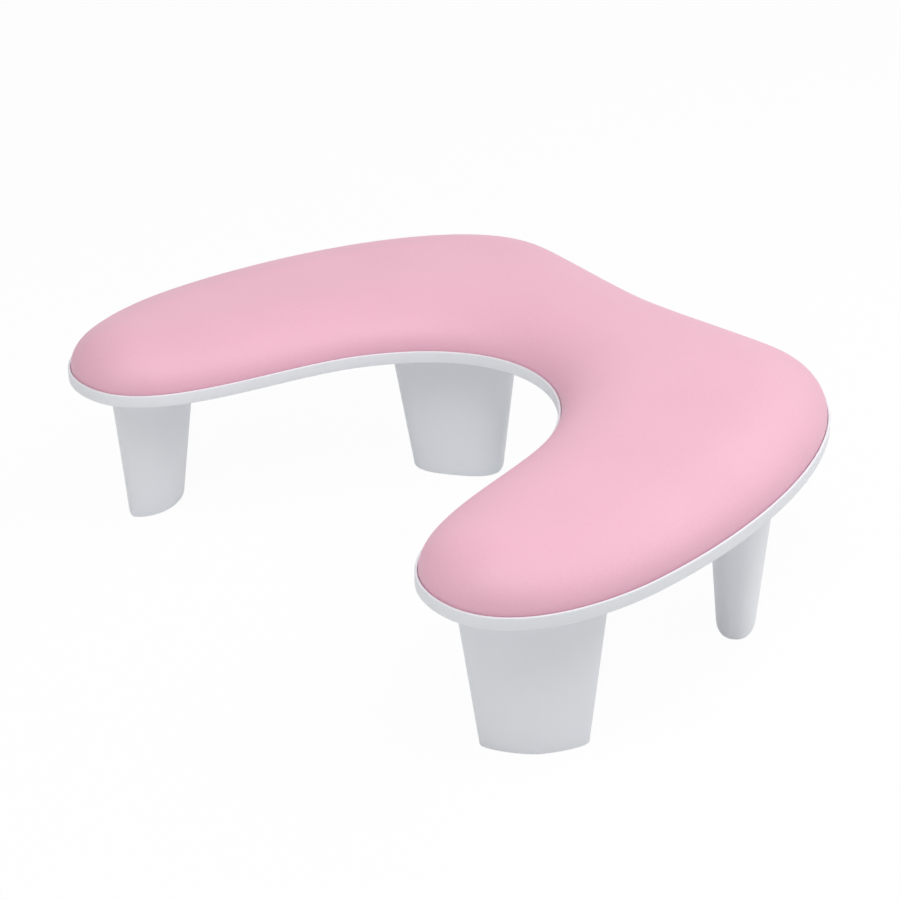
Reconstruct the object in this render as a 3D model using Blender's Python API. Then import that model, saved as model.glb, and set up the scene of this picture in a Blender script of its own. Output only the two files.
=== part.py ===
# Hand rest for a manicure table: a padded horseshoe on a moulded base with four legs.
# Metres, +Z up. The origin is on the table, below the middle of the base's plan, and the
# opening between the two wings faces -Y.
import math

import bmesh
import bpy
import numpy as np
from mathutils import Vector, geometry

MM = 0.001
CLEARANCE = 0.3 * MM                # between pieces that touch

# Plan of the base's outer edge
OVERALL_WIDTH = 400 * MM            # across both wings at their widest
OVERALL_DEPTH = 301.6 * MM          # from the wings' noses to the back's two humps
BACK_DIP = 8.3 * MM                 # how far the back's middle lies in front of the humps
HUMP_SPACING = 185 * MM             # between the two humps of the back
WIDEST_FROM_FRONT = 89.7 * MM       # where the wings are widest, from their noses
NOSE_SPACING = 292.2 * MM           # between the foremost points of the two wings
CUT_DEPTH = 191.7 * MM              # from the wings' noses to the bottom of the inner cut
CUT_WIDTH = 147.4 * MM              # across the inner cut at CUT_SIDE_FROM_FRONT
CUT_SIDE_FROM_FRONT = 131 * MM
CUT_SIDE_HEADING = 113.2            # degrees, the way the cut's side runs there
OUTLINE_PITCH = 16 * MM             # length of one straight piece of the outline

# Moulded base
LEG_HEIGHT = 86.1 * MM              # from the table to the rim's lower edge
RIM_BAND = 7.0 * MM                 # height of the rim's outer wall
RIM_WALL = 1.4 * MM                 # thickness of the wall round the cushion
RIM_CHAMFER = 0.5 * MM
SKIRT_WALL = 2.2 * MM               # thickness of the wall below the tray's floor
TRAY_DEPTH = 2.2 * MM               # from the rim's top to the tray's floor
TRAY_FLOOR = 2.0 * MM
LEG_WALL = 2.2 * MM
LEG_SOLE = 3.0 * MM                 # thickness of the closed end of a hollow leg
LEG_SETBACK = 7.1 * MM              # how far a foot stays inside the rim's outline
LEG_FILLET = 3.0 * MM               # where a leg runs out into the rim
FOOT_ROUND = 0.8 * MM               # rounding of the foot's lower edge
FLUSH_STEP = 0.05 * MM              # keeps a leg's wall off the rim's own face
LEG_SIDES = 28

# Each leg: the way its long side runs, how square its section is towards the middle of the rest
# and outwards (2 is an ellipse), and its section at the foot and where it meets the rim: the
# place from the side and from the front or back, half its length, and its reach in and out
FRONT_LEG = {
    "heading": 50.7, "square_in": 2.0, "square_out": 1.5,
    "foot": {"from_side": 37.5 * MM, "from_front": 46.7 * MM,
             "half_length": 26.4 * MM, "reach_in": 20.9 * MM, "reach_out": 9.0 * MM},
    "rim": {"from_side": 42.0 * MM, "from_front": 47.3 * MM,
            "half_length": 36.8 * MM, "reach_in": 28.6 * MM, "reach_out": 18.9 * MM},
}
REAR_RIGHT_LEG = {
    "heading": 129.5, "square_in": 2.4, "square_out": 2.4,
    "foot": {"from_side": 51.0 * MM, "from_back": 96.7 * MM,
             "half_length": 25.1 * MM, "reach_in": 10.4 * MM, "reach_out": 10.4 * MM},
    "rim": {"from_side": 57.3 * MM, "from_back": 92.1 * MM,
            "half_length": 37.2 * MM, "reach_in": 18.2 * MM, "reach_out": 18.2 * MM},
}
REAR_LEFT_LEG = {
    "heading": 142.1, "square_in": 2.8, "square_out": 2.8,
    "foot": {"from_side": 128.8 * MM, "from_back": 95.7 * MM,
             "half_length": 26.2 * MM, "reach_in": 15.7 * MM, "reach_out": 15.7 * MM},
    "rim": {"from_side": 128.4 * MM, "from_back": 99.5 * MM,
            "half_length": 37.3 * MM, "reach_in": 20.8 * MM, "reach_out": 20.8 * MM},
}
RIGHT, LEFT = 1, -1
LEGS = {
    "front_right": (FRONT_LEG, RIGHT),
    "front_left": (FRONT_LEG, LEFT),
    "rear_right": (REAR_RIGHT_LEG, RIGHT),
    "rear_left": (REAR_LEFT_LEG, LEFT),
}

# Non-slip pads under the feet
PAD_MARGIN = 3.0 * MM               # wall of the foot left round its pad
PAD_RECESS = 1.1 * MM
PAD_PROUD = 0.4 * MM                # how far a pad stands out of its foot

# Cushion
COVER_THICKNESS = 1.0 * MM
TURN_IN = 14 * MM                   # cover folded in under the board
BOARD_THICKNESS = 3.0 * MM
BOARD_MARGIN = 1.3 * MM             # between the edge of board and foam and the cover
CROWN_RISE = 23 * MM                # from the rim's top to the cushion's top
CROWN_ROLL = 43.8 * MM              # how far in from its edge the cushion keeps rising
CROWN_STEPS = 5
ROLL_LIMIT = 0.94                   # share of the room to the wing's middle line

# Screws that hold the cushion down, in pairs
SCREW_PAIRS = [
    {"from_side": 60 * MM, "from_front": 112.9 * MM},
    {"from_side": 95 * MM, "from_back": 38.9 * MM},
    {"from_side": 168 * MM, "from_back": 54.9 * MM},
]
SCREW_SHANK = 3.0 * MM
SCREW_HEAD = 7.0 * MM
SCREW_HEAD_HEIGHT = 1.8 * MM
SCREW_GRIP = 2.4 * MM               # length of the shank inside the board
BOSS_DIAMETER = 10 * MM
BOSS_HEIGHT = 0.6 * MM
SCREW_SIDES = 16

# Heights
RIM_BOTTOM = LEG_HEIGHT
RIM_TOP = LEG_HEIGHT + RIM_BAND
FLOOR_TOP = RIM_TOP - TRAY_DEPTH
FLOOR_UNDER = FLOOR_TOP - TRAY_FLOOR
FOOT_UNDER = PAD_PROUD
COVER_UNDER = FLOOR_TOP + CLEARANCE
BOARD_UNDER = COVER_UNDER + COVER_THICKNESS + CLEARANCE
BOARD_TOP = BOARD_UNDER + BOARD_THICKNESS
FOAM_UNDER = BOARD_TOP + CLEARANCE

# Insets from the rim's outline
CUSHION_INSET = RIM_WALL + CLEARANCE
LINING_INSET = CUSHION_INSET + COVER_THICKNESS
BOARD_INSET = LINING_INSET + BOARD_MARGIN


def clear_scene():
    for item in list(bpy.data.objects):
        bpy.data.objects.remove(item, do_unlink=True)


def new_collection(name):
    collection = bpy.data.collections.new(name)
    bpy.context.scene.collection.children.link(collection)
    return collection


def material(name, color, roughness, metallic=0.0):
    made = bpy.data.materials.new(name)
    made.use_nodes = True
    shader = made.node_tree.nodes["Principled BSDF"]
    shader.inputs["Base Color"].default_value = (*color, 1.0)
    shader.inputs["Roughness"].default_value = roughness
    shader.inputs["Metallic"].default_value = metallic
    return made


def heading(degrees):
    return Vector((math.cos(math.radians(degrees)), math.sin(math.radians(degrees))))


# A leg's or a screw's place on the right, from the plan's outer edges
def place_inside(item):
    x = OVERALL_WIDTH / 2 - item["from_side"]
    if "from_front" in item:
        return x, item["from_front"] - OVERALL_DEPTH / 2
    return x, OVERALL_DEPTH / 2 - item["from_back"]


# Each knot: its place, the way the edge runs there, and how strongly the curve keeps to that
# way before and after it, as a share of the distance to the neighbouring knot along that way
def rim_knots():
    front, back = -OVERALL_DEPTH / 2, OVERALL_DEPTH / 2
    return [
        (Vector((0, back - BACK_DIP)), heading(0), 0.27, 0.27),
        (Vector((HUMP_SPACING / 2, back)), heading(0), 0.225, 0.63),
        (Vector((OVERALL_WIDTH / 2, front + WIDEST_FROM_FRONT)), heading(-90), 0.46, 0.41),
        (Vector((NOSE_SPACING / 2, front)), heading(180), 0.78, 0.776),
        (Vector((CUT_WIDTH / 2, front + CUT_SIDE_FROM_FRONT)), heading(CUT_SIDE_HEADING),
         0.335, 0.27),
        (Vector((0, front + CUT_DEPTH)), heading(180), 0.55, 0.55),
    ]


# The base's outer edge, clockwise from above, starting at the back's middle
def rim_outline():
    knots = rim_knots()
    half = []
    for (start, way, _, pull), (end, next_way, next_pull, _) in zip(knots, knots[1:]):
        chord = end - start
        leave = start + way * (pull * chord.dot(way))
        arrive = end - next_way * (next_pull * chord.dot(next_way))
        steps = math.ceil(chord.length / OUTLINE_PITCH)
        half += geometry.interpolate_bezier(start, leave, arrive, end, steps + 1)[:-1]
    half = np.array([(point.x, point.y) for point in half] + [tuple(knots[-1][0])])
    mirrored = half[1:-1][::-1] * (-1, 1)
    return np.concatenate([half, mirrored])


def inward_normals(edge):
    along = np.roll(edge, -1, axis=0) - np.roll(edge, 1, axis=0)
    along /= np.linalg.norm(along, axis=1)[:, None]
    return np.column_stack([along[:, 1], -along[:, 0]])


# At each point of the edge, the radius of the largest circle that touches it from inside
def room_inside(edge, inward):
    across = edge[None] - edge[:, None]
    depth = np.einsum("ijk,ik->ij", across, inward)
    depth[depth < 1e-9] = 1e-9
    return ((across ** 2).sum(axis=2) / (2 * depth) + np.eye(len(edge))).min(axis=1)


EDGE = rim_outline()
INWARD = inward_normals(EDGE)
DEEPEST = ROLL_LIMIT * room_inside(EDGE, INWARD)


# The outline moved inwards, as a level ring
def edge_ring(inset, height):
    moved = EDGE + INWARD * inset
    return [Vector((x, y, height)) for x, y in moved]


# One ring on a crown that rises in a quarter of an ellipse, narrower where the wing is narrow
def crown_ring(edge_inset, rise, turn):
    top_inset = np.minimum(CUSHION_INSET + CROWN_ROLL, DEEPEST)
    inset = edge_inset + (top_inset - edge_inset) * (1 - math.cos(turn))
    height = RIM_TOP + rise * math.sin(turn)
    return [Vector((x, y, height)) for x, y in EDGE + INWARD * inset[:, None]]


def crown_rings(edge_inset):
    sunk = edge_inset - CUSHION_INSET
    turns = np.linspace(0, math.pi / 2, CROWN_STEPS + 1)
    return [crown_ring(edge_inset, CROWN_RISE - sunk, turn) for turn in turns]


# How far each ray from a middle point runs before it meets a closed line
def reach(middle, rays, line):
    side = np.roll(line, -1, axis=0) - line
    offset = line - middle
    cross = rays[:, None, 0] * side[None, :, 1] - rays[:, None, 1] * side[None, :, 0]
    cross[np.abs(cross) < 1e-12] = 1e-12
    distance = (offset[:, 0] * side[:, 1] - offset[:, 1] * side[:, 0])[None] / cross
    place = (offset[None, :, 0] * rays[:, None, 1] - offset[None, :, 1] * rays[:, None, 0]) / cross
    hit = (place >= -1e-6) & (place <= 1 + 1e-6) & (distance > 0)
    return np.where(hit, distance, 1.0).min(axis=1)


# A leg's section: flare goes from 0 at the foot to 1 at the rim, and the rim's outline cuts it off
def leg_ring(leg, side, flare, thinner, height):
    foot, rim = leg["foot"], leg["rim"]

    def size(name):
        return foot[name] + (rim[name] - foot[name]) * flare - thinner

    angle = np.arange(LEG_SIDES) * 2 * math.pi / LEG_SIDES
    inner = np.sin(angle) > 0
    power = np.where(inner, 2 / leg["square_in"], 2 / leg["square_out"])
    along = np.sign(np.cos(angle)) * np.abs(np.cos(angle)) ** power * size("half_length")
    across = np.sign(np.sin(angle)) * np.abs(np.sin(angle)) ** power
    across *= np.where(inner, size("reach_in"), size("reach_out"))
    way = heading(leg["heading"])
    offset = np.column_stack([along * way.x - across * way.y, along * way.y + across * way.x])
    length = np.linalg.norm(offset, axis=1)
    low, high = np.array(place_inside(foot)), np.array(place_inside(rim))
    middle = low + (high - low) * flare
    setback = LEG_SETBACK * max(0.0, 1 - flare) + thinner + FLUSH_STEP
    limit = reach(middle, offset / length[:, None], EDGE + INWARD * setback)
    points = middle + offset * np.minimum(1, limit / length)[:, None]
    return [Vector((x * side, y, height)) for x, y in points]


def add_rings(builder, rings):
    loops = [[builder.verts.new(point) for point in ring] for ring in rings]
    count = len(loops[0])
    for lower, upper in zip(loops, loops[1:]):
        for i in range(count):
            j = (i + 1) % count
            builder.faces.new((lower[i], lower[j], upper[j], upper[i]))
    builder.faces.new(loops[0])
    builder.faces.new(loops[-1])


# Closed bodies through lists of rings, with a flat cap at each end
def loft(name, bodies, collection, finish=None):
    builder = bmesh.new()
    for rings in bodies:
        add_rings(builder, rings)
    bmesh.ops.recalc_face_normals(builder, faces=builder.faces)
    mesh = bpy.data.meshes.new(name)
    builder.to_mesh(mesh)
    builder.free()
    mesh.shade_smooth()
    mesh.set_sharp_from_angle(angle=math.radians(35))
    if finish:
        mesh.materials.append(finish)
    made = bpy.data.objects.new(name, mesh)
    collection.objects.link(made)
    return made


def hide_cutter(cutter):
    cutter.hide_render = True
    cutter.display_type = "WIRE"


def boolean(piece, operand, operation):
    hide_cutter(operand)
    modifier = piece.modifiers.new(operand.name, "BOOLEAN")
    modifier.operation = operation
    modifier.object = operand


def disc_ring(place, radius, height):
    turns = (i * 2 * math.pi / SCREW_SIDES for i in range(SCREW_SIDES))
    return [Vector((place[0] + radius * math.cos(turn), place[1] + radius * math.sin(turn), height))
            for turn in turns]


def post(place, diameter, low, high):
    return [disc_ring(place, diameter / 2, low), disc_ring(place, diameter / 2, high)]


def screw_places():
    return [(x * side, y) for x, y in map(place_inside, SCREW_PAIRS) for side in (RIGHT, LEFT)]


# Outer skin of a leg, from its rounded foot to the middle of the tray's floor
def leg_body(leg, side):
    full_height = RIM_BOTTOM - FOOT_UNDER

    def skin(height, thinner=0.0):
        flare = (height - FOOT_UNDER) / full_height
        return leg_ring(leg, side, flare, thinner, height)

    rings = [skin(FOOT_UNDER, FOOT_ROUND), skin(FOOT_UNDER + 0.3 * FOOT_ROUND, 0.3 * FOOT_ROUND),
             skin(FOOT_UNDER + FOOT_ROUND)]
    for turn in (0, 30, 60, 90):
        out = LEG_FILLET * (1 - math.cos(math.radians(turn)))
        up = LEG_FILLET * math.sin(math.radians(turn))
        rings.append(skin(RIM_BOTTOM - LEG_FILLET + up, -out))
    flush_top = RIM_BOTTOM + 2 * RIM_CHAMFER
    rings.append(leg_ring(leg, side, 1, -LEG_FILLET, flush_top))
    rings.append(leg_ring(leg, side, 1, RIM_CHAMFER, flush_top + RIM_CHAMFER))
    rings.append(leg_ring(leg, side, 1, RIM_CHAMFER, (FLOOR_TOP + FLOOR_UNDER) / 2))
    return rings


# Hollow of a leg, open through the tray's floor
def leg_hollow(leg, side):
    return [leg_ring(leg, side, 0, LEG_WALL, FOOT_UNDER + LEG_SOLE),
            leg_ring(leg, side, 1, LEG_WALL, RIM_BOTTOM),
            leg_ring(leg, side, 1, LEG_WALL, RIM_TOP)]


def pad_recess(leg, side):
    return [leg_ring(leg, side, 0, PAD_MARGIN - CLEARANCE, -PAD_PROUD),
            leg_ring(leg, side, 0, PAD_MARGIN - CLEARANCE, FOOT_UNDER + PAD_RECESS)]


# The base is one moulding: a tray with a rim and a skirt, hollow legs and screw bosses
def make_base(parts, cutters, finish):
    tray = [
        edge_ring(RIM_WALL, FLOOR_TOP),
        edge_ring(RIM_WALL, RIM_TOP),
        edge_ring(RIM_CHAMFER, RIM_TOP),
        edge_ring(0, RIM_TOP - RIM_CHAMFER),
        edge_ring(0, RIM_BOTTOM + RIM_CHAMFER),
        edge_ring(RIM_CHAMFER, RIM_BOTTOM),
        edge_ring(SKIRT_WALL, RIM_BOTTOM),
        edge_ring(SKIRT_WALL, FLOOR_UNDER),
    ]
    base = loft("base", [tray], parts, finish)
    floor_middle = (FLOOR_TOP + FLOOR_UNDER) / 2
    grown = [leg_body(leg, side) for leg, side in LEGS.values()]
    grown += [post(place, BOSS_DIAMETER, FLOOR_UNDER - BOSS_HEIGHT, floor_middle)
              for place in screw_places()]
    hollows = [leg_hollow(leg, side) for leg, side in LEGS.values()]
    hollows += [pad_recess(leg, side) for leg, side in LEGS.values()]
    hole = SCREW_SHANK + 2 * CLEARANCE
    hollows += [post(place, hole, RIM_BOTTOM, RIM_TOP) for place in screw_places()]
    boolean(base, loft("legs_and_bosses", grown, cutters), "UNION")
    boolean(base, loft("hollows_and_holes", hollows, cutters), "DIFFERENCE")
    return base


def make_foot_pads(parts, finish):
    pad_top = FOOT_UNDER + PAD_RECESS - CLEARANCE
    for name, (leg, side) in LEGS.items():
        rings = [leg_ring(leg, side, 0, PAD_MARGIN, 0), leg_ring(leg, side, 0, PAD_MARGIN, pad_top)]
        loft("foot_pad_" + name, [rings], parts, finish)


# The cover is one skin: over the crown, down its edge and in under the board
def make_cover(parts, finish):
    outside = crown_rings(CUSHION_INSET)
    fold = [
        edge_ring(CUSHION_INSET, COVER_UNDER),
        edge_ring(CUSHION_INSET + TURN_IN, COVER_UNDER),
        edge_ring(CUSHION_INSET + TURN_IN, COVER_UNDER + COVER_THICKNESS),
        edge_ring(LINING_INSET, COVER_UNDER + COVER_THICKNESS),
    ]
    inside = crown_rings(LINING_INSET)
    return loft("cushion_cover", [outside[::-1] + fold + inside], parts, finish)


# The foam has the crown's form, cut off level where it is glued to the board
def make_foam(parts, finish):
    crown = crown_rings(LINING_INSET + CLEARANCE)
    return loft("foam_pad", [[edge_ring(BOARD_INSET, FOAM_UNDER)] + crown[1:]], parts, finish)


def make_board(parts, cutters, finish):
    rings = [edge_ring(BOARD_INSET, BOARD_UNDER), edge_ring(BOARD_INSET, BOARD_TOP)]
    board = loft("backing_board", [rings], parts, finish)
    pilot = SCREW_SHANK + 2 * CLEARANCE
    pilots = [post(place, pilot, COVER_UNDER, BOARD_UNDER + SCREW_GRIP + CLEARANCE)
              for place in screw_places()]
    boolean(board, loft("board_pilot_holes", pilots, cutters), "DIFFERENCE")
    return board


def make_screws(parts, finish):
    seat = FLOOR_UNDER - BOSS_HEIGHT - CLEARANCE
    for number, place in enumerate(screw_places(), start=1):
        rings = [
            disc_ring(place, 0.36 * SCREW_HEAD, seat - SCREW_HEAD_HEIGHT),
            disc_ring(place, SCREW_HEAD / 2, seat - 0.6 * SCREW_HEAD_HEIGHT),
            disc_ring(place, SCREW_HEAD / 2, seat),
            disc_ring(place, SCREW_SHANK / 2, seat),
            disc_ring(place, SCREW_SHANK / 2, BOARD_UNDER + SCREW_GRIP),
        ]
        loft("cushion_screw_" + str(number), [rings], parts, finish)


def main():
    clear_scene()
    parts = new_collection("hand_rest")
    cutters = new_collection("cutters")
    plastic = material("moulded_white_plastic", (0.68, 0.71, 0.75), 0.45)
    leatherette = material("pink_leatherette", (0.86, 0.47, 0.60), 0.5)
    foam = material("cream_foam", (0.85, 0.78, 0.60), 0.95)
    fibreboard = material("brown_fibreboard", (0.33, 0.21, 0.12), 0.8)
    steel = material("zinc_plated_steel", (0.62, 0.62, 0.60), 0.35, 1.0)
    rubber = material("clear_grey_rubber", (0.55, 0.57, 0.58), 0.6)
    make_base(parts, cutters, plastic)
    make_foot_pads(parts, rubber)
    make_cover(parts, leatherette)
    make_foam(parts, foam)
    make_board(parts, cutters, fibreboard)
    make_screws(parts, steel)


main()
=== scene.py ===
# Looks of a padded hand rest: a pink leatherette cushion on a white moulded base with four legs.
# Metres, +Z up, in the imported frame. The opening between the two wings faces -Y.
import math

import bmesh
import bpy
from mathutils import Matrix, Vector


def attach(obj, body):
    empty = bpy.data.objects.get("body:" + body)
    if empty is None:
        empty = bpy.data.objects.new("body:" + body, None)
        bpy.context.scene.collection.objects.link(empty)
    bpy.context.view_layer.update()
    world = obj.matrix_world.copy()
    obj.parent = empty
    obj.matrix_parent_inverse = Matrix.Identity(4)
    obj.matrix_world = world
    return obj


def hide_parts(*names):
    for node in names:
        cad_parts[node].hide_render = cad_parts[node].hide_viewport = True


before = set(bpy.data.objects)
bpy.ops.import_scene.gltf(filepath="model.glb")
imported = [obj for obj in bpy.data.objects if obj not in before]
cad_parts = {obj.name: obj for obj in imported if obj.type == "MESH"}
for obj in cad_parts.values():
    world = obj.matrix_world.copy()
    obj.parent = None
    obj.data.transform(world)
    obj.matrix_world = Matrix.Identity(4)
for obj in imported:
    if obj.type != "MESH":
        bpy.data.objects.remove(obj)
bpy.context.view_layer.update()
mm = 0.001
up = Vector((0, 0, 1))

def heading(degrees):
    return Vector((math.cos(math.radians(degrees)), math.sin(math.radians(degrees))))


def deselectAll():
    if bpy.context.mode != "OBJECT":
        bpy.ops.object.mode_set(mode="OBJECT")
    bpy.ops.object.select_all(action="DESELECT")


def pickOnly(piece):
    deselectAll()
    piece.select_set(True)
    bpy.context.view_layer.objects.active = piece


def applyModifier(piece, kind, **settings):
    pickOnly(piece)
    modifier = piece.modifiers.new(kind.title(), kind)
    for name, value in settings.items():
        setattr(modifier, name, value)
    bpy.ops.object.modifier_apply(modifier=modifier.name)


def carve(piece, tool, operation="DIFFERENCE"):     # the tool is used up
    applyModifier(piece, "BOOLEAN", operation=operation, object=tool, solver="EXACT",
                  use_self=False)
    bpy.data.objects.remove(tool, do_unlink=True)


plan = {                                    # the rim's outer edge, seen from above
    "width": 400 * mm, "depth": 301.6 * mm,
    "backDip": 8.3 * mm,                    # the back's middle lies this far in front of its humps
    "humpX": 92.5 * mm,
    "widestFromFront": 89.7 * mm,
    "noseX": 146.1 * mm,
    "cutDepth": 191.7 * mm,                 # from the noses to the end of the gap
    "cutX": 73.7 * mm, "cutFromFront": 131 * mm, "cutHeading": 113.2,
    "steps": 36,                            # straight pieces in each Bezier segment
}


# place, handle before and handle after of each Bezier point
def planPoints():
    front, back = -plan["depth"] / 2, plan["depth"] / 2
    knots = [                               # place, heading, pull before and after
        ((0, back - plan["backDip"]), 0, 0.27, 0.27),
        ((plan["humpX"], back), 0, 0.225, 0.63),
        ((plan["width"] / 2, front + plan["widestFromFront"]), -90, 0.46, 0.41),
        ((plan["noseX"], front), 180, 0.78, 0.776),
        ((plan["cutX"], front + plan["cutFromFront"]), plan["cutHeading"], 0.335, 0.27),
        ((0, front + plan["cutDepth"]), 180, 0.55, 0.55),
    ]
    knots = [(Vector(place), heading(turn), before, after)
             for place, turn, before, after in knots]
    points = [[knot[0], None, None] for knot in knots]
    for number, (start, end) in enumerate(zip(knots, knots[1:])):
        chord = end[0] - start[0]
        points[number][2] = start[0] + start[1] * start[3] * chord.dot(start[1])
        points[number + 1][1] = end[0] - end[1] * end[2] * chord.dot(end[1])
    points[0][1], points[-1][2] = mirrored(points[0][2]), mirrored(points[-1][1])
    return points + [[mirrored(place), mirrored(after), mirrored(before)]
                     for place, before, after in points[-2:0:-1]]


def mirrored(spot):
    return Vector((-spot.x, spot.y))


def drawPlan(name):
    deselectAll()
    bpy.ops.curve.primitive_bezier_circle_add(radius=plan["width"] / 2)
    piece = bpy.context.object
    piece.name = name
    points = planPoints()
    spline = piece.data.splines[0]
    spline.bezier_points.add(len(points) - len(spline.bezier_points))
    for point, (place, before, after) in zip(spline.bezier_points, points):
        point.handle_left_type = point.handle_right_type = "FREE"
        point.co = place.to_3d()
        point.handle_left, point.handle_right = before.to_3d(), after.to_3d()
    piece.data.resolution_u = plan["steps"]
    bpy.ops.object.convert(target="MESH")
    return bpy.context.object


def smoothAround(values, passes):
    for _ in range(passes):
        values = [(values[i - 1] + 2 * values[i] + values[(i + 1) % len(values)]) / 4
                  for i in range(len(values))]
    return values


# Radius of the largest circle inside the plan that touches the edge at each of its points
def roomInside(edge, inward):
    room = []
    for spot, way in zip(edge, inward):
        across = [(other - spot, (other - spot).dot(way)) for other in edge]
        room.append(min(span.length_squared / (2 * depth)
                        for span, depth in across if depth > 1e-7))
    return smoothAround(room, 12)


sketch = drawPlan("planSketch")
edge = [corner.co.copy() for corner in sketch.data.vertices]
bpy.data.objects.remove(sketch, do_unlink=True)
along = [(edge[(i + 1) % len(edge)] - edge[i - 1]).normalized() for i in range(len(edge))]
inward = [Vector((way.y, -way.x, 0)) for way in along]
room = roomInside(edge, inward)
print("plan drawn with", len(edge), "corners, tightest room in mm:", round(min(room) / mm, 1))


def wallRing(inset, height):
    return [spot + way * inset + up * height for spot, way in zip(edge, inward)]


# Carries a ring of vertices on through a list of rings of places
def carryRings(piece, rings, ends):
    marks = piece.data.attributes.new("place", "INT", "POINT")
    for number, corner in enumerate(piece.data.vertices):
        corner.co = rings[0][number]
        marks.data[number].value = number
    pickOnly(piece)
    bpy.ops.object.mode_set(mode="EDIT")
    bpy.ops.mesh.select_mode(type="EDGE")
    bpy.ops.mesh.select_all(action="SELECT")
    for ring in rings[1:]:
        bpy.ops.mesh.extrude_edges_move()
        shape = bmesh.from_edit_mesh(piece.data)
        place = shape.verts.layers.int["place"]
        for corner in shape.verts:
            if corner.select:
                corner.co = ring[corner[place]]
        bmesh.update_edit_mesh(piece.data)
    if ends == "last":
        bpy.ops.mesh.edge_face_add()
    elif ends == "both":
        bpy.ops.mesh.select_all(action="DESELECT")
        bpy.ops.mesh.select_non_manifold()
        bpy.ops.mesh.fill_holes(sides=0)
    bpy.ops.mesh.select_mode(type="FACE")
    bpy.ops.mesh.select_all(action="SELECT")
    bpy.ops.mesh.normals_make_consistent(inside=False)
    bpy.ops.mesh.select_all(action="DESELECT")
    bpy.ops.mesh.select_face_by_sides(number=4, type="GREATER")
    bpy.ops.mesh.quads_convert_to_tris(quad_method="BEAUTY", ngon_method="BEAUTY")
    bpy.ops.object.mode_set(mode="OBJECT")
    piece.data.attributes.remove(piece.data.attributes["place"])
    return piece


def quarterTurns(steps, start=0, end=90):
    return [math.radians(start + (end - start) * step / steps) for step in range(steps + 1)]


base = {
    "rimBottom": 86.1 * mm, "rimTop": 93.1 * mm,
    "rimWall": 1.4 * mm, "lipRound": 0.45 * mm, "edgeRound": 0.8 * mm,
    "skirtWall": 2.2 * mm,
    "floorTop": 90.9 * mm, "floorUnder": 88.9 * mm,
    "boss": 10 * mm, "bossHeight": 0.6 * mm, "screwHole": 3.6 * mm,
    "screwPlaces": [(140, -38), (105, 112), (32, 96)],      # in mm, the same on both sides
}

# each section: its middle, half its length, and its reach inwards and outwards
frontLeg = {
    "turn": 50.7, "squareIn": 2.0, "squareOut": 1.5,
    "foot": (162.5, -104.1, 26.4, 20.9, 9.0),
    "rim": (158.0, -103.5, 36.8, 28.6, 18.9),
}
legs = {
    "frontRight": {"side": 1, **frontLeg},
    "frontLeft": {"side": -1, **frontLeg},
    "rearRight": {
        "side": 1, "turn": 129.5, "squareIn": 2.4, "squareOut": 2.4,
        "foot": (149.0, 54.1, 25.1, 10.4, 10.4),
        "rim": (142.7, 58.7, 37.2, 18.2, 18.2),
    },
    "rearLeft": {
        "side": -1, "turn": 142.1, "squareIn": 2.8, "squareOut": 2.8,
        "foot": (71.2, 55.1, 26.2, 15.7, 15.7),
        "rim": (71.6, 51.3, 37.3, 20.8, 20.8),
    },
}

legShape = {
    "sides": 128,
    "foot": 0.4 * mm,                       # the pad below lifts the foot this much
    "setback": 7.1 * mm,                    # a foot stays this far inside the rim's outline
    "fillet": 3.0 * mm, "footRound": 0.9 * mm,
    "wall": 2.2 * mm, "sole": 3.0 * mm, "soleCorner": 1.5 * mm,
    "overlap": 0.6 * mm,                    # how far a leg reaches into the rim
    "flushStep": 0.05 * mm,
    "cutBelow": -5 * mm, "cutAbove": 110 * mm,      # how far the cutting wall reaches
    "padMargin": 3.0 * mm, "padRecess": 1.1 * mm, "gap": 0.3 * mm,
}


def makeTray():
    lip, corner = base["lipRound"], base["edgeRound"]
    top, bottom = base["rimTop"], base["rimBottom"]
    rings = [wallRing(base["rimWall"], base["floorTop"])]
    for turn in quarterTurns(3):            # over the lip
        rings.append(wallRing(base["rimWall"] - lip * (1 - math.cos(turn)),
                              top - lip * (1 - math.sin(turn))))
    for turn in quarterTurns(3):
        rings.append(wallRing(lip * (1 - math.sin(turn)), top - lip * (1 - math.cos(turn))))
    for turn in quarterTurns(4):            # round the rim's lower edge
        rings.append(wallRing(corner * (1 - math.cos(turn)),
                              bottom + corner * (1 - math.sin(turn))))
    rings += [wallRing(base["skirtWall"], bottom), wallRing(base["skirtWall"], base["floorUnder"])]
    return carryRings(drawPlan("base"), rings, "both")


# the leaning wall that cuts the legs off flush with the rim
def makeEnvelope():
    low = wallRing(legShape["setback"] + legShape["flushStep"], legShape["foot"])
    high = wallRing(legShape["flushStep"], base["rimBottom"])
    below = wallRing(legShape["setback"] + legShape["flushStep"], legShape["cutBelow"])
    above = wallRing(legShape["flushStep"], legShape["cutAbove"])
    return carryRings(drawPlan("envelope"), [below, low, high, above], "none")


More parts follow.
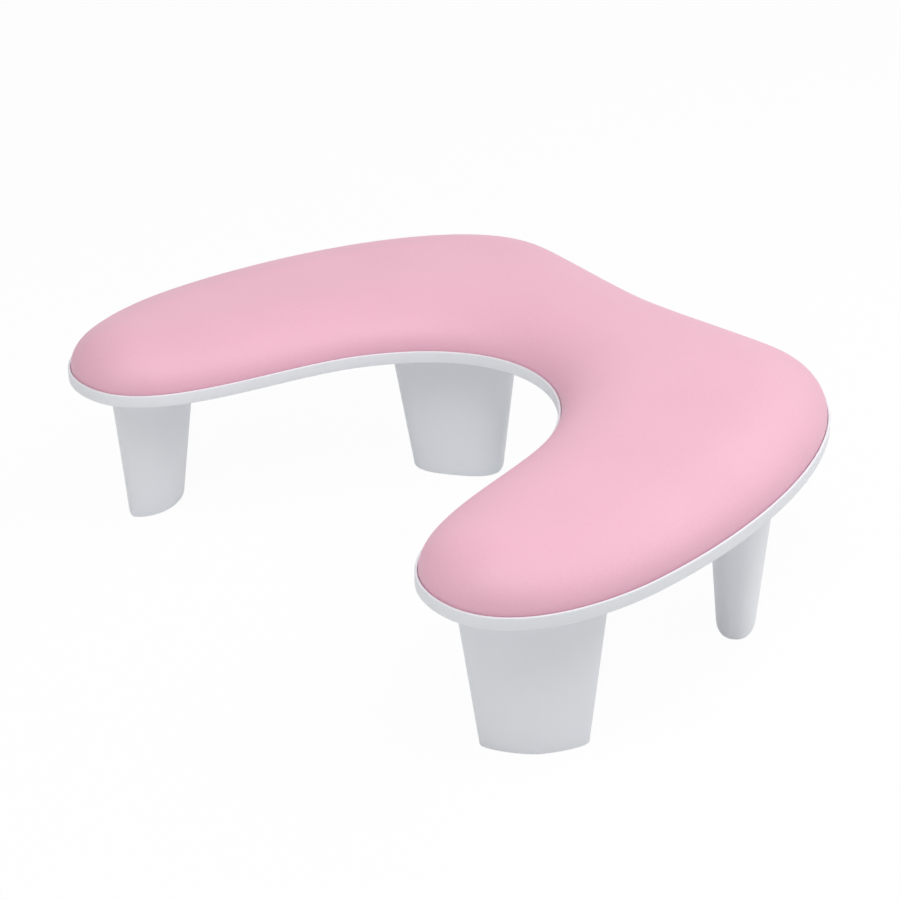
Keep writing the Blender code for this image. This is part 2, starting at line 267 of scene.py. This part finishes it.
# One section of a leg: flare runs from 0 at the foot to 1 at the rim
def legRing(leg, flare, thinner, height):
    way = heading(leg["turn"])
    x, y, long, reachIn, reachOut = [(low + (high - low) * flare) * mm
                                     for low, high in zip(leg["foot"], leg["rim"])]
    middle = Vector((x, y, height))
    spots = []
    for step in range(legShape["sides"]):
        turn = 2 * math.pi * step / legShape["sides"]
        inner = math.sin(turn) > 0
        power = 2 / (leg["squareIn"] if inner else leg["squareOut"])
        part = [math.copysign(abs(share) ** power, share) * (size - thinner)
                for share, size in ((math.cos(turn), long),
                                    (math.sin(turn), reachIn if inner else reachOut))]
        offset = Vector((part[0] * way.x - part[1] * way.y, part[0] * way.y + part[1] * way.x, 0))
        hit, place, normal, _ = envelope.ray_cast(middle, offset.normalized())
        if hit:
            lean = max(0.3, abs(normal.dot(offset.normalized())))
            limit = (place - middle).length - max(thinner, 0) / lean
            offset *= min(1, limit / offset.length)
        spots.append(middle + offset)
    spots = smoothAround(spots, 2)
    return [Vector((spot.x * leg["side"], spot.y, spot.z)) for spot in spots]


def loftLeg(name, rings, ends="both"):
    deselectAll()
    bpy.ops.mesh.primitive_circle_add(vertices=legShape["sides"], radius=30 * mm)
    piece = bpy.context.object
    piece.name = name
    return carryRings(piece, rings, ends)


def makeLeg(name, leg):
    foot, bottom = legShape["foot"], base["rimBottom"]
    fillet, corner = legShape["fillet"], legShape["footRound"]

    def skin(height, thinner=0.0):
        return legRing(leg, (height - foot) / (bottom - foot), thinner, height)

    rings = [skin(foot + corner * (1 - math.sin(turn)), corner * (1 - math.cos(turn)))
             for turn in quarterTurns(5, 90, 0)]
    rings += [skin(foot + (bottom - foot) * share) for share in (0.2, 0.4, 0.6, 0.8)]
    rings += [skin(bottom - fillet * (1 - math.sin(turn)), -fillet * (1 - math.cos(turn)))
              for turn in quarterTurns(7)]
    rings += [legRing(leg, 1, -fillet, bottom + 1.4 * base["edgeRound"]),
              legRing(leg, 1, legShape["overlap"], bottom + 2 * base["edgeRound"]),
              legRing(leg, 1, legShape["overlap"], (base["floorTop"] + base["floorUnder"]) / 2)]
    return loftLeg(name, rings)


def makeHollow(leg):
    wall, corner = legShape["wall"], legShape["soleCorner"]
    sole = legShape["foot"] + legShape["sole"]
    return loftLeg("hollow", [legRing(leg, 0, wall + corner, sole),
                              legRing(leg, 0.02, wall, sole + corner),
                              legRing(leg, 1, wall, base["rimBottom"]),
                              legRing(leg, 1, wall, base["rimTop"])])


def makePadRecess(leg):
    margin = legShape["padMargin"] - legShape["gap"]
    roof = legShape["foot"] + legShape["padRecess"]
    return loftLeg("padRecess", [legRing(leg, 0, margin, -legShape["foot"]),
                                 legRing(leg, 0, margin, roof)])


def addRod(name, place, diameter, low, high, sides=48):
    deselectAll()
    bpy.ops.mesh.primitive_cylinder_add(vertices=sides, radius=diameter / 2, depth=high - low,
                                        location=(place[0], place[1], (low + high) / 2))
    bpy.ops.object.transform_apply()
    bpy.context.object.name = name
    return bpy.context.object


def screwPlaces():
    return [(x * mm * side, y * mm) for x, y in base["screwPlaces"] for side in (1, -1)]


envelope = makeEnvelope()
bpy.context.view_layer.update()
mouldedBase = makeTray()
middleOfFloor = (base["floorTop"] + base["floorUnder"]) / 2
for name, leg in legs.items():
    carve(mouldedBase, makeLeg(name, leg), "UNION")
for place in screwPlaces():
    carve(mouldedBase, addRod("boss", place, base["boss"],
                              base["floorUnder"] - base["bossHeight"], middleOfFloor),
          "UNION")
for leg in legs.values():
    carve(mouldedBase, makeHollow(leg))
    carve(mouldedBase, makePadRecess(leg))
for place in screwPlaces():
    carve(mouldedBase, addRod("hole", place, base["screwHole"],
                              base["rimBottom"], base["rimTop"]))
mouldedBase.name = "mouldedBase"
print("base moulded:", len(mouldedBase.data.polygons), "faces")


padTread = {                                # shallow steps in the pad's underside
    "corner": 0.3 * mm, "depth": 0.25 * mm,
    # mm inwards, raised or not
    "steps": [(6.0, 1), (5.6, 0), (3.4, 0), (3.0, 1), (2.6, 1), (2.2, 0)],
}


def makeFootPad(name, leg):
    top = legShape["foot"] + legShape["padRecess"] - legShape["gap"]
    margin, corner = legShape["padMargin"], padTread["corner"]
    rings = [legRing(leg, 0, margin + inset * mm, raised * padTread["depth"])
             for inset, raised in padTread["steps"]]
    rings += [legRing(leg, 0, margin + corner * (1 - math.sin(turn)),
                      corner * (1 - math.cos(turn)))
              for turn in quarterTurns(3)]
    rings += [legRing(leg, 0, margin, top)]
    return loftLeg("footPad_" + name, rings)


footPads = {name: makeFootPad(name, leg) for name, leg in legs.items()}
bpy.data.objects.remove(envelope, do_unlink=True)
print("foot pads made:", len(footPads))


cushion = {
    "inset": 1.7 * mm,                      # from the rim's outline to the cover
    "rise": 23 * mm, "roll": 43.8 * mm,     # height and breadth of the rounded edge
    "roomShare": 0.94,                      # of the way to the wing's middle line
    "thickness": 1.0 * mm,
    "under": 91.2 * mm, "fold": 1.2 * mm, "turnIn": 14 * mm,
    "turns": 26,
    "foamInset": 4.0 * mm, "foamUnder": 95.8 * mm, "foamGap": 1.3 * mm,
}


# A ring on the crown, which rises in a quarter of an ellipse and is narrower where the wing is
def crownRing(edgeInset, rise, turn):
    ring = []
    for spot, way, space in zip(edge, inward, room):
        topInset = min(cushion["inset"] + cushion["roll"], cushion["roomShare"] * space)
        inset = edgeInset + (topInset - edgeInset) * (1 - math.cos(turn))
        ring.append(spot + way * inset + up * (base["rimTop"] + rise * math.sin(turn)))
    return ring


def makeCover():
    inset, under, fold = cushion["inset"], cushion["under"], cushion["fold"]
    rings = [wallRing(inset + cushion["turnIn"] * share, under) for share in (1, 0.6, 0.3)]
    rings += [wallRing(inset + fold * (1 - math.sin(turn)), under + fold * (1 - math.cos(turn)))
              for turn in quarterTurns(4)]
    rings += [crownRing(inset, cushion["rise"], turn) for turn in quarterTurns(cushion["turns"])]
    cover = carryRings(drawPlan("cushionCover"), rings, "last")
    applyModifier(cover, "SOLIDIFY", thickness=cushion["thickness"], offset=-1,
                  use_even_offset=False)
    return cover


def makeFoam():
    gap = cushion["foamGap"]
    rings = [wallRing(cushion["foamInset"], cushion["foamUnder"])]
    rings += [crownRing(cushion["inset"] + gap, cushion["rise"] - gap, turn)
              for turn in quarterTurns(12, 14, 90)]
    return carryRings(drawPlan("foamCore"), rings, "both")


cushionCover = makeCover()
foamCore = makeFoam()
print("cushion made:", len(cushionCover.data.polygons), "and",
      len(foamCore.data.polygons), "faces")


screws = {
    "head": 7.0 * mm, "headHeight": 1.8 * mm, "shank": 3.0 * mm,
    "seat": 88.0 * mm, "tip": 94.9 * mm, "overlap": 0.2 * mm,
    "headRound": 1.3 * mm,
    "slotLong": 3.6 * mm, "slotWide": 0.9 * mm, "slotDeep": 0.9 * mm,
}


def makeScrew():
    head, seat, low = screws["head"], screws["seat"], screws["seat"] - screws["headHeight"]
    screw = addRod("cushionScrew", (0, 0), head, low, seat)
    bpy.ops.object.mode_set(mode="EDIT")
    bpy.ops.mesh.select_mode(type="EDGE")
    bpy.ops.mesh.select_all(action="DESELECT")
    shape = bmesh.from_edit_mesh(screw.data)
    for side in shape.edges:
        side.select = all(corner.co.z < low + 0.01 * mm for corner in side.verts)
    bmesh.update_edit_mesh(screw.data)
    bpy.ops.mesh.bevel(offset=screws["headRound"], segments=6, affect="EDGES")
    bpy.ops.object.mode_set(mode="OBJECT")
    shank = addRod("shank", (0, 0), screws["shank"], seat - screws["overlap"],
                   screws["tip"], 24)
    carve(screw, shank, "UNION")
    for turn in (0, 90):
        deselectAll()
        bpy.ops.mesh.primitive_cube_add(size=1, location=(0, 0, low),
                                        rotation=(0, 0, math.radians(turn)))
        bpy.context.object.scale = (screws["slotLong"], screws["slotWide"],
                                    2 * screws["slotDeep"])
        bpy.ops.object.transform_apply()
        carve(screw, bpy.context.object)
    return screw


def placeCopies(piece, places):
    copies = []
    for number, place in enumerate(places, start=1):
        pickOnly(piece)
        bpy.ops.object.duplicate()
        copy = bpy.context.object
        bpy.ops.transform.translate(value=(place[0], place[1], 0))
        bpy.ops.object.transform_apply()
        copy.name = piece.name + "_" + str(number)
        copies.append(copy)
    bpy.data.objects.remove(piece, do_unlink=True)
    return copies


cushionScrews = placeCopies(makeScrew(), screwPlaces())
print("screws made:", len(cushionScrews))


class Wire:                                 # an output socket that can stand in a sum
    def __init__(self, shader, socket):
        self.shader, self.socket = shader, socket

    def math(self, operation, first, second):
        return self.shader.node("ShaderNodeMath", {"operation": operation}, {0: first, 1: second})

    def __add__(self, other):
        return self.math("ADD", self, other)

    def __radd__(self, other):
        return self.math("ADD", other, self)

    def __sub__(self, other):
        return self.math("SUBTRACT", self, other)

    def __rsub__(self, other):
        return self.math("SUBTRACT", other, self)

    def __mul__(self, other):
        return self.math("MULTIPLY", self, other)

    def __rmul__(self, other):
        return self.math("MULTIPLY", other, self)


class Shader:
    def __init__(self, tree):
        self.tree = tree
        tree.nodes.clear()

    def node(self, kind, settings=None, sockets=None, output=0):
        made = self.tree.nodes.new(kind)
        for name, value in (settings or {}).items():
            if name == "stops":
                self.setStops(made.color_ramp, value)
            else:
                setattr(made, name, value)
        for name, value in (sockets or {}).items():
            if isinstance(value, Wire):
                self.tree.links.new(value.socket, made.inputs[name])
            else:
                made.inputs[name].default_value = value
        return Wire(self, made.outputs[output]) if len(made.outputs) else None

    def setStops(self, ramp, stops):
        while len(ramp.elements) < len(stops):
            ramp.elements.new(1.0)
        for element, (position, grey) in zip(ramp.elements, stops):
            element.position, element.color = position, (grey, grey, grey, 1)

    def noise(self, size, place, detail=2.0, roughness=0.5):
        return self.node("ShaderNodeTexNoise", {}, {
            "Vector": place, "Scale": 1 / size, "Detail": detail, "Roughness": roughness})

    def mix(self, factor, first, second):
        return self.node("ShaderNodeMix", {"data_type": "RGBA"},
                         {0: factor, 6: first, 7: second}, 2)


def newFinish(name):
    made = bpy.data.materials.new(name)
    made.use_nodes = True
    return made, Shader(made.node_tree)


def objectPlace(shader):
    return shader.node("ShaderNodeTexCoord", {}, {}, "Object")


def closeFinish(shader, surface):
    shader.node("ShaderNodeOutputMaterial", {}, {"Surface": surface})


def shifted(color, share):                  # a lighter or darker cast of a colour
    return tuple(min(1.0, part * share) for part in color) + (1.0,)


def makeLeatherette():
    pink = (0.872, 0.481, 0.600)
    made, shader = newFinish("pinkLeatherette")
    place = objectPlace(shader)
    drift = shader.noise(60 * mm, place)
    warp = shader.node("ShaderNodeTexNoise", {},
                       {"Vector": place, "Scale": 1 / (2.5 * mm), "Detail": 1.0}, 1)
    bent = shader.node("ShaderNodeVectorMath", {"operation": "MULTIPLY_ADD"},
                       {0: warp, 1: (0.5 * mm,) * 3, 2: place})
    pebble = shader.node("ShaderNodeTexVoronoi", {"feature": "SMOOTH_F1"},
                         {"Vector": bent, "Scale": 1 / (0.9 * mm), "Smoothness": 0.4})
    creaseAndPaintedShade = shader.node("ShaderNodeMapRange", {"interpolation_type": "SMOOTHSTEP"},
                         {0: pebble, 1: 0.3, 2: 0.8})
    fine = shader.noise(0.25 * mm, place, 3.0)
    grain = (1 - creaseAndPaintedShade) * 0.8 + fine * 0.2
    bump = shader.node("ShaderNodeBump", {},
                       {"Strength": 0.18, "Distance": 0.12 * mm, "Height": grain})
    # the creases between the pebbles are painted darker pink: painted shade in the grain's
    # valleys, on top of a random drift in tone
    color = shader.mix(drift * 0.7 + creaseAndPaintedShade * 0.3, shifted(pink, 1.035), shifted(pink, 0.95))
    roughness = 0.46 + drift * 0.08 + creaseAndPaintedShade * 0.05
    surface = shader.node("ShaderNodeBsdfPrincipled", {}, {
        "Base Color": color, "Roughness": roughness, "Normal": bump,
        "Sheen Weight": 0.12, "Sheen Roughness": 0.45, "Sheen Tint": (1.0, 0.86, 0.92, 1.0)})
    closeFinish(shader, surface)
    return made


def makeMouldedPlastic():
    white = (0.875, 0.895, 0.935)
    made, shader = newFinish("whiteMouldedPlastic")
    place = objectPlace(shader)
    cloud = shader.noise(45 * mm, place)
    spark = shader.noise(0.35 * mm, place, 4.0, 0.65)
    scuff = shader.node("ShaderNodeValToRGB", {"stops": [(0.62, 0.0), (0.72, 1.0)]},
                        {"Fac": shader.noise(9 * mm, place, 5.0, 0.7)})
    bump = shader.node("ShaderNodeBump", {},
                       {"Strength": 0.12, "Distance": 0.05 * mm, "Height": spark})
    color = shader.mix(cloud * 0.8 + spark * 0.2, shifted(white, 1.015), shifted(white, 0.975))
    roughness = 0.36 + cloud * 0.08 + spark * 0.06 + scuff * 0.04
    surface = shader.node("ShaderNodeBsdfPrincipled", {}, {
        "Base Color": color, "Roughness": roughness, "Normal": bump,
        "Subsurface Weight": 0.06, "Subsurface Scale": 2 * mm,
        "Subsurface Radius": (1.0, 0.9, 0.8)})
    closeFinish(shader, surface)
    return made


def makeFoamFinish():
    cream = (0.85, 0.78, 0.60)
    made, shader = newFinish("openCellFoam")
    place = objectPlace(shader)
    cells = shader.node("ShaderNodeTexVoronoi", {"feature": "DISTANCE_TO_EDGE"},
                        {"Vector": place, "Scale": 1 / (1.4 * mm)})
    poresAndPaintedShade = shader.node("ShaderNodeMapRange", {}, {0: cells, 1: 0.05, 2: 0.35})
    bump = shader.node("ShaderNodeBump", {"invert": True},
                       {"Strength": 0.6, "Distance": 0.4 * mm, "Height": poresAndPaintedShade})
    # the middles of the cells are painted darker: painted shade in the foam's pits
    color = shader.mix(poresAndPaintedShade, shifted(cream, 1.04), shifted(cream, 0.78))
    roughness = 0.9 + shader.noise(20 * mm, place) * 0.08
    surface = shader.node("ShaderNodeBsdfPrincipled", {}, {
        "Base Color": color, "Roughness": roughness, "Normal": bump})
    closeFinish(shader, surface)
    return made


def makeFibreboard():
    brown = (0.33, 0.21, 0.12)
    made, shader = newFinish("brownFibreboard")
    place = objectPlace(shader)
    speck = shader.noise(1.2 * mm, place, 6.0, 0.75)
    cloud = shader.noise(30 * mm, place)
    bump = shader.node("ShaderNodeBump", {},
                       {"Strength": 0.3, "Distance": 0.1 * mm, "Height": speck})
    color = shader.mix(speck * 0.75 + cloud * 0.25, shifted(brown, 0.7), shifted(brown, 1.35))
    surface = shader.node("ShaderNodeBsdfPrincipled", {}, {
        "Base Color": color, "Roughness": 0.72 + speck * 0.16, "Normal": bump})
    closeFinish(shader, surface)
    return made


def makeZincSteel():
    grey = (0.62, 0.62, 0.60)
    made, shader = newFinish("zincPlatedSteel")
    place = objectPlace(shader)
    spangle = shader.noise(0.8 * mm, place, 4.0, 0.6)
    bump = shader.node("ShaderNodeBump", {},
                       {"Strength": 0.15, "Distance": 0.03 * mm, "Height": spangle})
    color = shader.mix(spangle, shifted(grey, 0.85), shifted(grey, 1.12))
    surface = shader.node("ShaderNodeBsdfPrincipled", {}, {
        "Base Color": color, "Metallic": 1.0, "Roughness": 0.26 + spangle * 0.16, "Normal": bump})
    closeFinish(shader, surface)
    return made


def makeRubber():
    grey = (0.60, 0.61, 0.63)
    made, shader = newFinish("clearGreyRubber")
    place = objectPlace(shader)
    grit = shader.noise(0.5 * mm, place, 3.0)
    cloud = shader.noise(12 * mm, place)
    bump = shader.node("ShaderNodeBump", {},
                       {"Strength": 0.2, "Distance": 0.05 * mm, "Height": grit})
    color = shader.mix(cloud * 0.6 + grit * 0.4, shifted(grey, 0.94), shifted(grey, 1.05))
    surface = shader.node("ShaderNodeBsdfPrincipled", {}, {
        "Base Color": color, "Roughness": 0.6 + grit * 0.15, "Normal": bump})
    closeFinish(shader, surface)
    return made


def dress(piece, finish, nodes=()):
    piece.data.materials.clear()
    piece.data.materials.append(finish)
    pickOnly(piece)
    bpy.ops.object.shade_smooth_by_angle(angle=math.radians(32))
    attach(piece, "root")
    if nodes:
        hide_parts(*nodes)


leatherette, plastic = makeLeatherette(), makeMouldedPlastic()
rubber, zincSteel = makeRubber(), makeZincSteel()
dress(cushionCover, leatherette, ["cushion_cover"])
dress(foamCore, makeFoamFinish(), ["foam_pad"])
dress(mouldedBase, plastic, ["base"])
cadPads = {"frontRight": "foot_pad_front_right", "frontLeft": "foot_pad_front_left",
           "rearRight": "foot_pad_rear_right", "rearLeft": "foot_pad_rear_left"}
for name, pad in footPads.items():
    dress(pad, rubber, [cadPads[name]])
for number, screw in enumerate(cushionScrews, start=1):
    dress(screw, zincSteel, ["cushion_screw_" + str(number)])
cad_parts["backing_board"].data.materials.clear()
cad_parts["backing_board"].data.materials.append(makeFibreboard())


studio = {
    "floorSize": 12.0,
    "floorShadow": 0.045,                   # share of real shading that the camera sees there
    "floorPaint": (0.95, 0.95, 0.95, 1),
    "worldLight": 0.30,
    "lampSize": 0.8,
    "lampAim": (0, 0, 0.06),
    "lamps": {                              # place and power
        "topSoftbox": ((0.40, -0.30, 1.36), 7.5),
        "rightSoftbox": ((0.74, 0.74, 1.00), 4.5),
        "frontSoftbox": ((0, -1.04, 1.00), 2.7),
        "backSoftbox": ((0, 1.04, 1.00), 2.9),
    },
}


def directView(shader):                     # 1 for rays from the camera, mirrors and glass
    rays = [shader.node("ShaderNodeLightPath", {}, {}, name)
            for name in ("Is Camera Ray", "Is Glossy Ray", "Is Transmission Ray")]
    return shader.node("ShaderNodeClamp", {}, {0: rays[0] + rays[1] + rays[2]})


# white to the camera, and it bounces light on the object
def makeFloor():
    deselectAll()
    bpy.ops.mesh.primitive_plane_add(size=studio["floorSize"])
    floor = bpy.context.object
    floor.name = "floor"
    made, shader = newFinish("paleFloor")
    paint = shader.node("ShaderNodeBsdfDiffuse", {}, {"Color": studio["floorPaint"]})
    glow = shader.node("ShaderNodeEmission", {}, {"Color": (1, 1, 1, 1), "Strength": 1.0})
    share = directView(shader) * (1 - studio["floorShadow"])
    closeFinish(shader, shader.node("ShaderNodeMixShader", {}, {0: share, 1: paint, 2: glow}))
    floor.data.materials.append(made)


def makeWorld():
    world = bpy.data.worlds.new("studioWorld")
    bpy.context.scene.world = world
    world.use_nodes = True
    shader = Shader(world.node_tree)
    light = shader.node("ShaderNodeBackground", {},
                        {"Color": (1, 1, 1, 1), "Strength": studio["worldLight"]})
    seen = shader.node("ShaderNodeBackground", {}, {"Color": (1, 1, 1, 1), "Strength": 1.0})
    both = shader.node("ShaderNodeMixShader", {}, {0: directView(shader), 1: light, 2: seen})
    shader.node("ShaderNodeOutputWorld", {}, {"Surface": both})


def addLamp(name, place, power):
    deselectAll()
    bpy.ops.object.light_add(type="AREA", location=place)
    lamp = bpy.context.object
    lamp.name = name
    lamp.data.shape = "SQUARE"
    lamp.data.size, lamp.data.energy = studio["lampSize"], power
    lamp.rotation_mode = "QUATERNION"
    way = Vector(studio["lampAim"]) - Vector(place)
    lamp.rotation_quaternion = way.to_track_quat("-Z", "Y")


view = {
    "target": Vector((0, -5.1, 54.13)) * mm,
    "azimuth": 48.28, "elevation": 28.68,
    "distance": 1213.1 * mm,
    "lens": 89.51,
    "shift": (-0.0148, 0.0097),
}


def makeCamera():
    turn, rise = math.radians(view["azimuth"]), math.radians(view["elevation"])
    level = math.cos(rise)
    back = Vector((math.sin(turn) * level, -math.cos(turn) * level, math.sin(rise)))
    deselectAll()
    bpy.ops.object.camera_add(location=view["target"] + back * view["distance"])
    camera = bpy.context.object
    camera.rotation_mode = "QUATERNION"
    camera.rotation_quaternion = (-back).to_track_quat("-Z", "Y")
    camera.data.sensor_width, camera.data.lens = 36, view["lens"]
    camera.data.shift_x, camera.data.shift_y = view["shift"]
    camera.data.clip_start, camera.data.clip_end = 0.05, 60
    bpy.context.scene.camera = camera


makeFloor()
makeWorld()
for name, (place, power) in studio["lamps"].items():
    addLamp(name, place, power)
makeCamera()
bpy.context.scene.view_settings.view_transform = "Standard"
